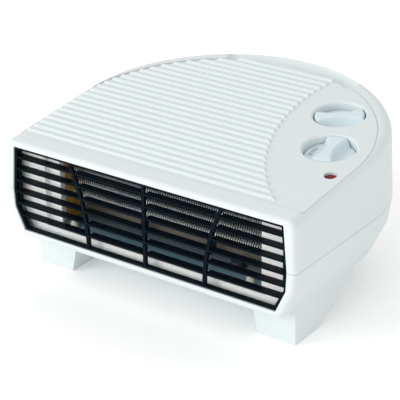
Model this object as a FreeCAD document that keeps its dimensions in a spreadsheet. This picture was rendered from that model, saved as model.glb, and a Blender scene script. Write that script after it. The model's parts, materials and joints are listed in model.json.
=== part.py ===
import FreeCAD, Part
import math
import os

import Sketcher

# Flat fan heater that stands on the floor: two moulded shells around a centrifugal fan, which
# draws air through the ribbed top and blows it over coiled heating wire and out of a front grille.
# Millimetres and degrees. X runs to the right, Y to the back, Z up. The origin is on the floor,
# below the middle of the housing. Depths named "behind" are measured back from the front face.

HOUSING_SIZES = {
    "width": 260,
    "depth": 220,
    "seam_height": 68,
    "seam_gap": 0.3,
    "rim_height": 107,
    "top_tilt": 6,
    "wall_draft": 2.5,
    "wall": 2.5,
    "rim_radius": 7,
    "front_edge_radius": 4,
    "back_reach": 116,
    "back_flatness": 16,
    "knee_rise": 23.7,
    "knee_inset": 1.5,
    "knee_back_inset": 5,
    "base_height": 29.8,
    "base_inset": 12.3,
    "base_back_inset": 21,
    "cut_margin": 5,
}
FRAME_SIZES = {
    "flange": 3,
    "top_frame": 3.8,
    "base_frame": 5.7,
    "side_frame_top": 10.3,
    "side_frame_seam": 7.4,
    "side_frame_knee": 8.2,
    "side_frame_base": 16.6,
}
PANEL_SIZES = {
    "panel_drop": 1.1,
    "panel_start": 15,
    "crease_inset": 4.4,
    "crease_back_inset": 15.5,
    "crease_reach": 119,
    "groove_width": 1,
    "groove_depth": 0.5,
    "rib_count": 24,
    "rib_pitch": 7.5,
    "rib_start": 20.1,
    "rib_base": 3.9,
    "rib_slope": 0.9,
    "rib_shoulder": 1.5,
    "rib_crown_radius": 2.2,
    "rib_root": 1.6,
    "rib_end_gap": 1.2,
    "rib_end_angle": 55,
    "slot_width": 1.1,
    "control_arc_radius": 185.5,
    "control_arc_outset": 92,
    "control_arc_back_inset": 60.9,
    "intake_radius": 52,
    "grip_half_angle": 28,
    "grip_offset": 2.5,
    "grip_scoop_radius": 9,
    "grip_scoop_rise": 4.5,
    "grip_end_radius": 8.5,
}
FOOT_SIZES = {
    "front_foot_side_inset": 12.8,
    "front_foot_width": 31.9,
    "front_foot_start": 20.5,
    "front_foot_length": 29.2,
    "front_foot_inner_draft": 6.5,
    "front_foot_tail": 54,
    "rear_foot_inner": 40,
    "rear_foot_outer": 62,
    "rear_foot_back_inset": 78,
    "rear_foot_length": 20,
    "rear_foot_flare": 4,
    "front_post_side_inset": 29,
    "front_post_behind": 35,
    "rear_post_x": 52,
    "rear_post_back_inset": 44,
    "post_radius": 4.6,
    "well_radius": 3.4,
    "screw_seat_drop": 14,
    "screw_radius": 1.6,
    "screw_length": 30,
    "screw_hole_gap": 0.3,
    "screw_head_radius": 3,
    "screw_head_height": 2.2,
}
CONTROL_SIZES = {
    "switch_side_inset": 37.7,
    "switch_back_inset": 117.9,
    "thermostat_side_inset": 58.4,
    "thermostat_back_inset": 70.4,
    "switch_rest_angle": 114,
    "thermostat_rest_angle": 35,
    "dish_radius": 22.2,
    "dish_floor_radius": 19.7,
    "dish_depth": 8.5,
    "dish_lip_rise": 0.2,
    "knob_radius": 18.7,
    "knob_lift": 0.8,
    "knob_height": 9,
    "knob_edge_radius": 2,
    "ridge_width": 7.5,
    "scoop_radius": 36,
    "scoop_depth": 6.5,
    "knob_bore_depth": 6,
    "spindle_radius": 3,
    "spindle_flat": 1,
    "spindle_hole_gap": 0.6,
    "bush_gap": 0.05,
    "control_body_width": 27,
    "control_body_depth": 25,
    "switch_body_height": 22,
    "thermostat_body_height": 15,
    "spindle_in_body": 9,
    "tab_width": 6.3,
    "tab_thickness": 0.8,
    "tab_length": 8,
    "tab_spacing": 8,
    "tab_count": 3,
    "lens_side_inset": 15.8,
    "lens_back_inset": 152,
    "lens_radius": 4.6,
    "lens_hole_gap": 0.25,
    "lens_sink": 2,
    "lens_rise": 0.5,
    "lens_dome_radius": 18,
    "lens_flat": 0.5,
    "lens_flange": 1,
    "lens_flange_height": 1,
    "lamp_radius": 3,
    "lamp_length": 12,
    "lamp_base_length": 5,
    "lamp_glass_radius": 2.4,
}
GRILLE_SIZES = {
    "grille_gap": 0.4,
    "grille_set_back": 1,
    "grille_depth": 8,
    "frame_depth": 3.6,
    "grille_frame": 1.8,
    "slat_count": 6,
    "slat_base_gap": 10.7,
    "slat_top_gap": 9.5,
    "slat_thickness": 1.5,
    "slat_depth": 6.5,
    "slat_end_gap": 3,
    "bar_width": 2.6,
    "bar_depth": 2.6,
    "bar_x": 52.5,
    "bar_arc_radius": 150,
    "ear_reach": 2.2,
    "ear_thickness": 2,
    "ear_seat_gap": 0.2,
    "ear_top_gap": 11.2,
    "ear_seam_drop": 10,
}
DUCT_SIZES = {
    "duct_side_inset": 37,
    "duct_wall": 2,
    "duct_floor_gap": 0.2,
    "duct_top_gap": 7.5,
    "bulkhead_behind": 9.6,
    "bulkhead_foot": 2,
    "bulkhead_sill_rise": 7.7,
    "step_behind": 14,
    "step_out": 5.6,
    "step_in": 5.4,
    "throat_behind": 95,
    "flare_behind": 56,
    "scroll_clearance": 5,
    "fan_behind": 115,
    "cover_thickness": 2,
    "inlet_radius": 43,
    "inlet_lip": 4,
}
FAN_SIZES = {
    "wheel_radius": 50,
    "wheel_lift": 10,
    "wheel_top_gap": 2.5,
    "wheel_plate": 2,
    "wheel_ring": 3,
    "blade_count": 20,
    "blade_inner": 36,
    "blade_outer": 48,
    "blade_thickness": 1.6,
    "blade_sweep": 9,
    "blade_arc_radius": 16,
    "hub_radius": 7,
    "hub_height": 16,
    "shaft_radius": 2,
    "shaft_rise": 2.7,
    "rotor_radius": 12.6,
    "air_gap": 0.45,
    "core_rise": 9.7,
    "core_stack": 14,
    "core_half": 24,
    "core_front": 20,
    "core_back": 45,
    "window_half": 13.5,
    "window_front": 19,
    "window_back": 33,
    "coil_wall": 5,
    "coil_clear": 0.4,
    "coil_half": 12,
    "bracket_thickness": 1.5,
    "bracket_lift": 1.2,
    "bracket_width": 12,
    "bracket_screw_x": 20,
    "bracket_corner": 3,
    "bush_radius": 4.5,
    "bush_height": 4,
    "spacer_radius": 3.4,
    "shaft_gap": 0.03,
    "motor_screw_radius": 1.5,
    "motor_screw_bite": 4,
    "mount_radius": 4,
}
ELEMENT_SIZES = {
    "card_behind": 25,
    "card_depth": 22,
    "card_top_gap": 3.5,
    "card_thickness": 1,
    "card_gap": 0.2,
    "tray_rise": 6.3,
    "tray_thickness": 1,
    "tray_start": 16.3,
    "tray_back": 50,
    "tray_lip": 5,
    "coil_rows": 4,
    "coil_base_gap": 20.4,
    "coil_top_gap": 7.5,
    "curl_radius": 3.4,
    "curl_count": 14,
    "wire_diameter": 1.4,
    "card_hole_gap": 0.5,
    "support_set_back": 2,
    "bead_side_inset": 12.8,
    "bead_behind": 19,
    "bead_radius": 3,
    "bead_neck": 2,
    "bead_bore": 1,
    "bead_height": 9,
    "cutout_side_inset": 34.8,
    "cutout_radius": 7,
    "cutout_height": 5,
    "cutout_foot": 1,
    "cutout_can": 5.5,
}
INLET_SIZES = {
    "inlet_knee_rise": 1.5,
    "inlet_back_inset": 16,
    "inlet_recess_radius": 9,
    "inlet_boss_radius": 11.5,
    "inlet_boss_length": 6,
    "gland_radius": 5,
    "gland_gap": 0.2,
    "gland_collar": 9,
    "gland_tail": 6,
    "gland_bore": 3.4,
    "block_side_inset": 64,
    "block_behind": 120,
    "block_pole": 11,
    "block_count": 3,
    "block_depth": 16,
    "block_height": 14,
    "block_slot": 2,
}
SECTIONS = (HOUSING_SIZES, FRAME_SIZES, PANEL_SIZES, FOOT_SIZES, CONTROL_SIZES, GRILLE_SIZES,
            DUCT_SIZES, FAN_SIZES, ELEMENT_SIZES, INLET_SIZES)

SHEET_NAME = "Sizes"
STEP_FOLDER = "parts"
X_AXIS = FreeCAD.Vector(1, 0, 0)
Y_AXIS = FreeCAD.Vector(0, 1, 0)
QUARTER_TURN = 90
FULL_TURN = 360
QUARTERS = FULL_TURN // QUARTER_TURN
TOLERANCE = 1e-3


class Size:
    """A number with the expression that works it out from the sheet."""

    def __init__(self, value, text):
        self.value = float(value)
        self.text = text

    @staticmethod
    def of(other):
        return other if isinstance(other, Size) else Size(other, repr(other))

    def __add__(self, other):
        other = Size.of(other)
        return Size(self.value + other.value, f"({self.text} + {other.text})")

    def __sub__(self, other):
        other = Size.of(other)
        return Size(self.value - other.value, f"({self.text} - {other.text})")

    def __mul__(self, other):
        other = Size.of(other)
        return Size(self.value * other.value, f"({self.text} * {other.text})")

    def __truediv__(self, other):
        other = Size.of(other)
        return Size(self.value / other.value, f"({self.text} / {other.text})")

    def __neg__(self):
        return Size(-self.value, f"(0 - {self.text})")

    def __radd__(self, other):
        return Size.of(other) + self

    def __rsub__(self, other):
        return Size.of(other) - self

    def __rmul__(self, other):
        return Size.of(other) * self


def root(size):
    """Square root of a size."""
    return Size(math.sqrt(size.value), f"sqrt({size.text})")


def sine(angle):
    """Sine of an angle in degrees."""
    return Size(math.sin(math.radians(angle.value)), f"sin({angle.text})")


def cosine(angle):
    """Cosine of an angle in degrees."""
    return Size(math.cos(math.radians(angle.value)), f"cos({angle.text})")


def tangent(angle):
    """Tangent of an angle in degrees."""
    return Size(math.tan(math.radians(angle.value)), f"tan({angle.text})")


class Sizes:
    """The driving dimensions, one attribute for each cell of the sheet."""

    def __init__(self, document):
        sheet = document.addObject("Spreadsheet::Sheet", SHEET_NAME)
        row = 0
        for section in SECTIONS:
            for name, value in section.items():
                row += 1
                sheet.set(f"A{row}", name)
                sheet.set(f"B{row}", str(value))
                sheet.setAlias(f"B{row}", name)
                setattr(self, name, Size(value, f"{SHEET_NAME}.{name}"))
        document.recompute()


doc = FreeCAD.newDocument("FanHeater")
d = Sizes(doc)
nodes = []

# Places that several pieces share
half_width = d.width / 2
front = d.depth / -2
back = d.depth / 2
floor_top = d.base_height + d.wall
tilt_sine = sine(d.top_tilt)
tilt_cosine = cosine(d.top_tilt)
tilt_tangent = tangent(d.top_tilt)
panel_y = front + d.panel_drop * tilt_sine
panel_z = d.rim_height - d.panel_drop * tilt_cosine
panel_thickness = d.panel_drop + d.wall
knee_height = d.base_height + d.knee_rise
opening_top = d.rim_height - d.top_frame
opening_base = d.base_height + d.base_frame
opening_top_half = half_width - d.side_frame_top
opening_seam_half = half_width - d.side_frame_seam
opening_knee_half = half_width - d.side_frame_knee
opening_base_half = half_width - d.side_frame_base
crease_half = half_width - d.crease_inset
duct_half = half_width - d.duct_side_inset
duct_top = d.rim_height - d.duct_top_gap
scroll_radius = d.wheel_radius + d.scroll_clearance
fan_x = scroll_radius - duct_half
fan_y = front + d.fan_behind
core_base = floor_top + d.core_rise
core_top = core_base + d.core_stack
wheel_base = core_top + d.wheel_lift


def behind(distance):
    """Y of a place at a distance behind the front face."""
    return front + distance


def along_panel(distance):
    """Distance along the tilted panel of a place at a level distance behind the front face."""
    return distance / tilt_cosine


# Document helpers

def bind(item, name, size):
    """Tie a property to the sheet."""
    item.setExpression(name, Size.of(size).text)


def keep(item, label):
    """Name a finished sub-part and put it on the list that is written out."""
    item.Label = label
    nodes.append(item)
    return item


def new_body(name):
    return doc.addObject("PartDesign::Body", name)


def place(item, x, y, z):
    """Move an object to a bound place."""
    for axis, size in zip("xyz", (x, y, z)):
        bind(item, f"Placement.Base.{axis}", size)
    return item


def on_panel(item, x=0, along=0, lift=0, turn=0):
    """Stand an object on the tilted top panel, turned about the panel's normal."""
    turn = Size.of(turn)
    spin = FreeCAD.Rotation(FreeCAD.Vector(0, 0, 1), turn.value)
    lean = FreeCAD.Rotation(X_AXIS, d.top_tilt.value)
    item.Placement = FreeCAD.Placement(FreeCAD.Vector(), lean.multiply(spin))
    if not turn.value:
        bind(item, "Placement.Rotation.Angle", d.top_tilt)
    along = Size.of(along)
    lift = Size.of(lift)
    place(item, x, panel_y + along * tilt_cosine - lift * tilt_sine,
          panel_z + along * tilt_sine + lift * tilt_cosine)
    return item


def new_sketch(body, name, role, offset=0):
    """Sketch on one of the body's own origin planes, moved along that plane's normal."""
    sketch = body.newObject("Sketcher::SketchObject", name)
    plane = next(item for item in body.Origin.OriginFeatures if item.Role == role)
    sketch.AttachmentSupport = [(plane, "")]
    sketch.MapMode = "FlatFace"
    bind(sketch, "AttachmentOffset.Base.z", offset)
    return sketch


def plan_sketch(body, name, height=0):
    """Sketch seen from above, at a height."""
    return new_sketch(body, name, "XY_Plane", height)


def front_sketch(body, name, y=0):
    """Sketch seen from the front, at a place along Y."""
    return new_sketch(body, name, "XZ_Plane", -Size.of(y))


def side_sketch(body, name, x=0):
    """Sketch seen from the right, at a place along X."""
    return new_sketch(body, name, "YZ_Plane", x)


def arc_between(start, end, radius):
    """Minor arc between two points: a positive radius turns left on the way, a negative one right."""
    middle = (start + end) / 2
    chord = end - start
    rise = math.sqrt(max(radius * radius - chord.Length ** 2 / 4, 0))
    left = FreeCAD.Vector(-chord.y, chord.x, 0) / chord.Length
    centre = middle + left * math.copysign(rise, radius)
    first, last = (start, end) if radius > 0 else (end, start)
    angles = [math.atan2(point.y - centre.y, point.x - centre.x) for point in (first, last)]
    circle = Part.Circle(centre, FreeCAD.Vector(0, 0, 1), abs(radius))
    return Part.ArcOfCircle(circle, angles[0], angles[1])


class Outline:
    """Fully constrained geometry of one sketch, each size tied to the sheet."""

    def __init__(self, sketch):
        self.sketch = sketch
        self.constraints = []
        self.texts = {}

    def size(self, kind, *where):
        """Add a dimension; its last value is a Size."""
        value = Size.of(where[-1])
        self.texts[len(self.constraints)] = value.text
        self.constraints.append(Sketcher.Constraint(kind, *where[:-1], value.value))

    def pin(self, edge, end, x, y):
        """Fix a point at sizes from the sketch's origin."""
        for kind, axis, value in (("DistanceX", -2, x), ("DistanceY", -1, y)):
            if isinstance(value, Size):
                self.size(kind, -1, 1, edge, end, value)
            else:
                self.constraints.append(Sketcher.Constraint("PointOnObject", edge, end, axis))

    def loop(self, corners):
        """Closed run of corners (x, y), or (x, y, radius) for a corner reached by an arc."""
        points = [FreeCAD.Vector(Size.of(c[0]).value, Size.of(c[1]).value, 0) for c in corners]
        ends = []
        for index, corner in enumerate(corners):
            following = corners[(index + 1) % len(corners)]
            start, end = points[index], points[(index + 1) % len(corners)]
            if len(following) == 3:
                radius = following[2]
                edge = self.sketch.addGeometry(arc_between(start, end, radius.value))
                ends.append((edge, 1, 2) if radius.value > 0 else (edge, 2, 1))
                self.size("Radius", edge, radius if radius.value > 0 else -radius)
            else:
                edge = self.sketch.addGeometry(Part.LineSegment(start, end))
                ends.append((edge, 1, 2))
            self.pin(edge, ends[-1][1], corner[0], corner[1])
        for index, (edge, first, last) in enumerate(ends):
            neighbour, neighbour_first, _ = ends[(index + 1) % len(ends)]
            self.constraints.append(
                Sketcher.Constraint("Coincident", edge, last, neighbour, neighbour_first))

    def circle(self, x, y, radius):
        """Circle about a bound centre."""
        centre = FreeCAD.Vector(Size.of(x).value, Size.of(y).value, 0)
        edge = self.sketch.addGeometry(Part.Circle(centre, FreeCAD.Vector(0, 0, 1), radius.value))
        self.pin(edge, 3, x, y)
        self.size("Radius", edge, radius)

    def close(self):
        """Hand the constraints to the sketch and tie them to the sheet."""
        self.sketch.addConstraint(self.constraints)
        for index, text in self.texts.items():
            self.sketch.setExpression(f"Constraints[{index}]", text)
        return self.sketch


def draw(sketch, *loops):
    """Fill a sketch with closed loops of corners."""
    outline = Outline(sketch)
    for corners in loops:
        outline.loop(corners)
    return outline.close()


def draw_circles(sketch, *circles):
    """Fill a sketch with circles (x, y, radius)."""
    outline = Outline(sketch)
    for x, y, radius in circles:
        outline.circle(x, y, radius)
    return outline.close()


def rectangle(x0, x1, y0, y1):
    """Corners of a rectangle, counter-clockwise."""
    return [(x0, y0), (x1, y0), (x1, y1), (x0, y1)]


def rounded_rectangle(x0, x1, y0, y1, radius):
    """Corners of a rectangle with round corners, counter-clockwise."""
    return [(x0 + radius, y0, radius), (x1 - radius, y0), (x1, y0 + radius, radius),
            (x1, y1 - radius), (x1 - radius, y1, radius), (x0 + radius, y1),
            (x0, y1 - radius, radius), (x0, y0 + radius)]


def feature(body, kind, name, sketch, **lengths):
    """Sketched feature with bound lengths."""
    item = body.newObject(f"PartDesign::{kind}", name)
    item.Profile = sketch
    sketch.Visibility = False
    for prop, size in lengths.items():
        bind(item, prop, size)
    return item


def pad(body, name, sketch, length, backwards=False, both_ways=False):
    item = feature(body, "Pad", name, sketch, Length=length)
    item.Reversed = backwards
    item.SideType = "Symmetric" if both_ways else "One side"
    return item


def pocket(body, name, sketch, length, backwards=False, both_ways=False):
    """Cut a sketch out of the body, and make sure that it took something away."""
    doc.recompute()
    before = body.Shape.Volume
    item = feature(body, "Pocket", name, sketch, Length=length)
    item.Reversed = backwards
    item.SideType = "Symmetric" if both_ways else "One side"
    doc.recompute()
    if body.Shape.Volume >= before:
        raise RuntimeError(f"{name} cuts nothing")
    return item


def turned(body, name, corners, angle=FULL_TURN):
    """Solid of revolution about the body's Z axis from a profile (radius, height)."""
    sketch = draw(front_sketch(body, f"{name}_profile"), corners)
    item = feature(body, "Revolution", name, sketch, Angle=angle)
    item.ReferenceAxis = (sketch, ["V_Axis"])
    item.Midplane = True
    return item


def loft(body, name, sketches):
    """Straight-sided loft through sketches in order."""
    item = feature(body, "AdditiveLoft", name, sketches[0])
    item.Sections = [(sketch, [""]) for sketch in sketches[1:]]
    item.Ruled = True
    for sketch in sketches:
        sketch.Visibility = False
    return item


def row_of(body, name, original, axis, spacing, count):
    """Linear pattern of one feature, as many times as the sheet says."""
    item = body.newObject("PartDesign::LinearPattern", name)
    item.Originals = [original]
    item.Direction = axis
    bind(item, "Length", spacing * (count - 1))
    bind(item, "Occurrences", count)
    body.Tip = item
    return item


def ring_of(body, name, original, axis, count):
    """Polar pattern of one feature round a full turn."""
    item = body.newObject("PartDesign::PolarPattern", name)
    item.Originals = [original]
    item.Axis = axis
    item.Angle = FULL_TURN
    bind(item, "Occurrences", count)
    body.Tip = item
    return item


def box(name, x0, x1, y0, y1, z0, z1):
    """Part::Box between two bound corners."""
    item = doc.addObject("Part::Box", name)
    for prop, low, high in (("Length", x0, x1), ("Width", y0, y1), ("Height", z0, z1)):
        bind(item, prop, high - low)
    return place(item, x0, y0, z0)


def cylinder(name, radius, height, x, y, z, axis=None):
    """Part::Cylinder that stands up, or lies along an axis turned from Z."""
    item = doc.addObject("Part::Cylinder", name)
    bind(item, "Radius", radius)
    bind(item, "Height", height)
    if axis:
        turn = FreeCAD.Rotation(FreeCAD.Vector(0, 0, 1), axis)
        item.Placement = FreeCAD.Placement(FreeCAD.Vector(), turn)
    return place(item, x, y, z)


def fuse(name, *shapes):
    """Union of several objects."""
    item = doc.addObject("Part::MultiFuse", name)
    item.Shapes = list(shapes)
    item.Refine = True
    return item


def common(name, *shapes):
    """What several objects share."""
    item = doc.addObject("Part::MultiCommon", name)
    item.Shapes = list(shapes)
    item.Refine = True
    return item


def cut(name, base, *tools):
    """An object less one or more others."""
    item = doc.addObject("Part::Cut", name)
    item.Base = base
    item.Tool = tools[0] if len(tools) == 1 else fuse(f"{name}_tools", *tools)
    item.Refine = True
    return item


def group(name, *shapes):
    """Separate solids that share one node."""
    item = doc.addObject("Part::Compound", name)
    item.Links = list(shapes)
    return item


# Housing

lens_x = half_width - d.lens_side_inset
lens_along = along_panel(d.depth - d.lens_back_inset)
bend_y = back - d.back_reach
loft_top = d.rim_height + d.depth * tilt_tangent + d.cut_margin


def back_arc_radius(half, reach):
    """Radius of the middle arc of a rounded back, which meets a tangent arc at each corner."""
    corner = reach - d.back_flatness
    offset = half - corner
    return (offset * offset + reach * reach - corner * corner) / (2 * d.back_flatness)


def rounded_back(half, start, bend, end):
    """Plan of the housing: level front, straight sides, and a back of three tangent arcs."""
    reach = end - bend
    corner = reach - d.back_flatness
    offset = half - corner
    back_radius = back_arc_radius(half, reach)
    span = back_radius - corner
    joint_x = offset + corner * offset / span
    joint_y = bend + corner * (back_radius - reach) / span
    return [(-half, start), (half, start), (half, bend), (joint_x, joint_y, corner),
            (-joint_x, joint_y, back_radius), (-half, bend, corner)]


def round_edges(body, name, radius, wanted):
    """Round the edges whose end points pass a test."""
    doc.recompute()
    base = body.Tip
    names = [f"Edge{index + 1}" for index, edge in enumerate(base.Shape.Edges)
             if wanted([vertex.Point for vertex in edge.Vertexes])]
    item = body.newObject("PartDesign::Fillet", name)
    item.Base = (base, names)
    bind(item, "Radius", radius)
    return item


def all_at(points, axis, size):
    """Whether every point has one coordinate at a size."""
    return all(abs(getattr(point, axis) - size.value) < TOLERANCE for point in points)


def on_slope(points, top):
    """Whether every point lies on the tilted top."""
    return all(abs(p.z - top.value - (p.y - front.value) * tilt_tangent.value) < TOLERANCE
               for p in points)


def upper_form(name, inset, start, drop, radius):
    """Drafted walls under a top that rises to the back, with a rounded edge."""
    body = new_body(name)
    sections = []
    for level, height in (("seam", d.seam_height + d.seam_gap), ("top", loft_top)):
        lean = inset + (height - d.seam_height) * tangent(d.wall_draft)
        sketch = plan_sketch(body, f"{name}_{level}", height)
        sections.append(draw(sketch, rounded_back(half_width - lean, start, bend_y, back - lean)))
    loft(body, f"{name}_walls", sections)
    top = d.rim_height - drop / tilt_cosine
    near = front - d.cut_margin
    far = back + d.cut_margin
    above = loft_top + d.cut_margin
    slope = draw(side_sketch(body, f"{name}_slope"),
                 [(near, top - d.cut_margin * tilt_tangent),
                  (far, top + (d.depth + d.cut_margin) * tilt_tangent),
                  (far, above), (near, above)])
    pocket(body, f"{name}_top_face", slope, d.width + d.cut_margin * 2, both_ways=True)
    round_edges(body, f"{name}_top_edge", radius,
                lambda points: on_slope(points, top) and not all_at(points, "y", start))
    return body


def hull_lean(height, inset, knee):
    """Inset of the lower hull's tapering wall at a height, between the knee and the base."""
    return inset - (inset - knee) * (height - d.base_height) / (knee_height - d.base_height)


def lower_form(name, inset, start, bottom):
    """Bowl below the seam: near-vertical to the knee, then tapering in to the base."""
    body = new_body(name)
    sections = []
    for level, height, side, end in (
            ("seam", d.seam_height, inset, inset),
            ("knee", knee_height, inset + d.knee_inset, inset + d.knee_back_inset),
            ("base", bottom, inset + hull_lean(bottom, d.base_inset, d.knee_inset),
             inset + hull_lean(bottom, d.base_back_inset, d.knee_back_inset))):
        sketch = plan_sketch(body, f"{name}_{level}", height)
        sections.append(draw(sketch, rounded_back(half_width - side, start, bend_y, back - end)))
    loft(body, f"{name}_walls", sections)
    return body


def opening_corners(shrink=0):
    """Eight-sided outline of the air outlet, seen from the front."""
    right = [(opening_base_half - shrink, opening_base + shrink),
             (opening_knee_half - shrink, knee_height),
             (opening_seam_half - shrink, d.seam_height),
             (opening_top_half - shrink, opening_top - shrink)]
    left = [(-x, z) for x, z in reversed(right)]
    return right + left


def outlet_prism(name, shrink, start, length):
    """Solid with the outline of the air outlet, from a place along Y to the back."""
    body = new_body(name)
    sketch = draw(front_sketch(body, f"{name}_outline", start), opening_corners(shrink))
    pad(body, f"{name}_block", sketch, length, backwards=True)
    return body


def post_places():
    """Where the four case screws stand: label, x, y."""
    front_post_x = half_width - d.front_post_side_inset
    return [("front_left", -front_post_x, behind(d.front_post_behind)),
            ("front_right", front_post_x, behind(d.front_post_behind)),
            ("rear_left", -d.rear_post_x, back - d.rear_post_back_inset),
            ("rear_right", d.rear_post_x, back - d.rear_post_back_inset)]


def panel_block(name, inset, low, high):
    """Solid over the sunk part of the top, inside its edge by an inset."""
    body = new_body(name)
    start = along_panel(d.panel_start) + inset
    end = along_panel(d.depth - d.crease_back_inset)
    sketch = plan_sketch(body, f"{name}_outline", low)
    draw(sketch, rounded_back(crease_half - inset, start, end - d.crease_reach, end - inset))
    pad(body, f"{name}_pad", sketch, high - low)
    return on_panel(body)


def make_ribs():
    """Row of louvre ribs, each with a ledge before it that leaves a slot behind the last rib."""
    field = new_body("rib_field")
    start = along_panel(d.rib_start)
    end = start + d.rib_base
    ledge = end - d.rib_pitch + d.slot_width
    profile = draw(side_sketch(field, "rib_profile"),
                   [(ledge, -d.rib_root), (end, -d.rib_root), (end - d.rib_slope, d.rib_shoulder),
                    (start + d.rib_slope, d.rib_shoulder, d.rib_crown_radius), (start, 0),
                    (ledge, 0)])
    rib = pad(field, "rib", profile, d.width, both_ways=True)
    row_of(field, "rib_row", rib, (profile, ["H_Axis"]), d.rib_pitch, d.rib_count)
    on_panel(field)
    inset = d.groove_width + d.rib_end_gap
    zone = panel_block("rib_zone", inset, -d.rib_root, d.cut_margin)
    # Above the panel the zone widens, so that the ribs run out in a slope
    controls = new_body("control_zone")
    arc = d.control_arc_radius
    mouth = arc + d.cut_margin / tangent(d.rib_end_angle)
    turned(controls, "control_cone",
           [(0, -d.cut_margin), (arc, -d.cut_margin), (arc, 0), (mouth, d.cut_margin),
            (0, d.cut_margin)])
    on_panel(controls, half_width + d.control_arc_outset,
             along_panel(d.depth - d.control_arc_back_inset))
    return cut("ribs", common("ribs_on_top", field, zone), controls)


def make_intake():
    """Round hole through the panel over the fan, which the ribs and their ledges cross."""
    depth = panel_thickness + d.cut_margin
    disc = cylinder("intake_disc", d.intake_radius, depth * 2, 0, 0, 0)
    return on_panel(disc, fan_x, along_panel(d.fan_behind), -depth)


def knob_places():
    """The two controls: label, x, distance along the panel, angle of the knob's ridge at rest."""
    return [("switch", half_width - d.switch_side_inset,
             along_panel(d.depth - d.switch_back_inset), d.switch_rest_angle),
            ("thermostat", half_width - d.thermostat_side_inset,
             along_panel(d.depth - d.thermostat_back_inset), d.thermostat_rest_angle)]


def dish_profile(grow):
    """Half section of a knob's dish, or of the cup around it when grown by the wall."""
    depth = d.dish_depth + grow
    floor = d.dish_floor_radius + grow
    mouth = d.dish_radius + grow
    # The wall rolls over at the top into the panel, which cuts the roll off just short of level
    roll = mouth - floor
    return [(0, -depth), (floor, -depth), (floor, d.dish_lip_rise - roll),
            (mouth, d.dish_lip_rise, -roll), (mouth, d.cut_margin), (0, d.cut_margin)]


def make_dish(name, grow, x, along):
    body = new_body(name)
    turned(body, f"{name}_bowl", dish_profile(grow))
    return on_panel(body, x, along)


def make_grip(name, grow):
    """Finger scoop along the back rim, swung about the middle of the rim's arc."""
    radius = back_arc_radius(crease_half, d.crease_reach)
    end = along_panel(d.depth - d.crease_back_inset)
    body = new_body(name)
    sketch = draw_circles(side_sketch(body, f"{name}_section"),
                          (radius + d.grip_offset, d.panel_drop + d.grip_scoop_rise,
                           d.grip_scoop_radius + grow))
    item = feature(body, "Revolution", f"{name}_arc", sketch, Angle=d.grip_half_angle * 2 + grow)
    item.ReferenceAxis = (sketch, ["V_Axis"])
    item.Midplane = True
    round_edges(body, f"{name}_ends", d.grip_end_radius, lambda points: len(points) == 1)
    return on_panel(body, 0, end - radius)


def make_upper_shell():
    outer = upper_form("upper_outer", 0, front, Size.of(0), d.rim_radius)
    seam = d.seam_height + d.seam_gap
    round_edges(outer, "upper_front_edge", d.front_edge_radius,
                lambda points: all_at(points, "y", front) and not all_at(points, "z", seam))
    core = upper_form("upper_core", d.wall, front + d.flange, panel_thickness,
                      d.rim_radius - d.wall)
    hollow = cut("upper_hollow", outer, core)
    # Bosses, knob cups, grip backing and lamp collar stand inside the shell
    boss_base = d.seam_height + d.seam_gap
    inside = [cylinder(f"{label}_boss", d.post_radius, loft_top - boss_base, x, y, boss_base)
              for label, x, y in post_places()]
    inside += [make_dish(f"{label}_cup", d.wall, x, along) for label, x, along, _ in knob_places()]
    inside.append(make_grip("grip_backing", d.wall))
    filled = fuse("upper_blank", hollow, common("upper_inside", outer, fuse("inside_all", *inside)))
    # Everything that is cut through or into the top and the front
    tools = [panel_block("panel_sink", 0, Size.of(0), d.panel_drop + d.cut_margin)]
    ring = cut("crease_ring", panel_block("crease_outer", 0, -d.groove_depth, d.cut_margin),
               panel_block("crease_inner", d.groove_width, -d.groove_depth * 2, d.cut_margin * 2))
    tools.append(ring)
    tools.append(make_intake())
    tools.append(make_grip("grip_scoop", Size.of(0)))
    reach = d.cut_margin + d.grille_set_back + d.grille_depth
    tools.append(outlet_prism("upper_outlet", 0, front - d.cut_margin, reach + d.cut_margin))
    for label, x, along, _ in knob_places():
        tools.append(make_dish(f"{label}_dish", Size.of(0), x, along))
        hole = cylinder(f"{label}_hole", d.spindle_radius + d.spindle_hole_gap,
                        d.dish_depth * 4, 0, 0, 0)
        tools.append(on_panel(hole, x, along, d.dish_depth * -3))
    lens_hole = cylinder("lens_hole", d.lens_radius + d.lens_hole_gap, d.cut_margin * 4, 0, 0, 0)
    tools.append(on_panel(lens_hole, lens_x, lens_along, d.cut_margin * -2))
    bite = d.screw_length - d.screw_seat_drop
    for label, x, y in post_places():
        tools.append(cylinder(f"{label}_pilot", d.screw_radius + d.bush_gap, bite + d.seam_gap,
                              x, y, d.seam_height))
    shell = cut("upper_cut", filled, *tools)
    keep(fuse("upper_whole", shell, make_ribs()), "upper_shell")


def make_foot(name, side, inner, outer, start, length, spread, tail, inset, low, high):
    """Tapered foot, or the hollow in it when inset by the wall; side is 1 right or -1 left."""
    body = new_body(name)
    sections = []
    for level, height, widen, lengthen in (("sole", low, 0, 0), ("root", high, spread, tail)):
        near = inner - widen + inset
        away = outer - inset
        corners = rectangle(near, away, behind(start) + inset,
                            behind(start) + length + lengthen - inset)
        if side < 0:
            corners = [(-x, y) for x, y in reversed(corners)]
        sections.append(draw(plan_sketch(body, f"{name}_{level}", height), corners))
    loft(body, f"{name}_block", sections)
    return body


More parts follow.
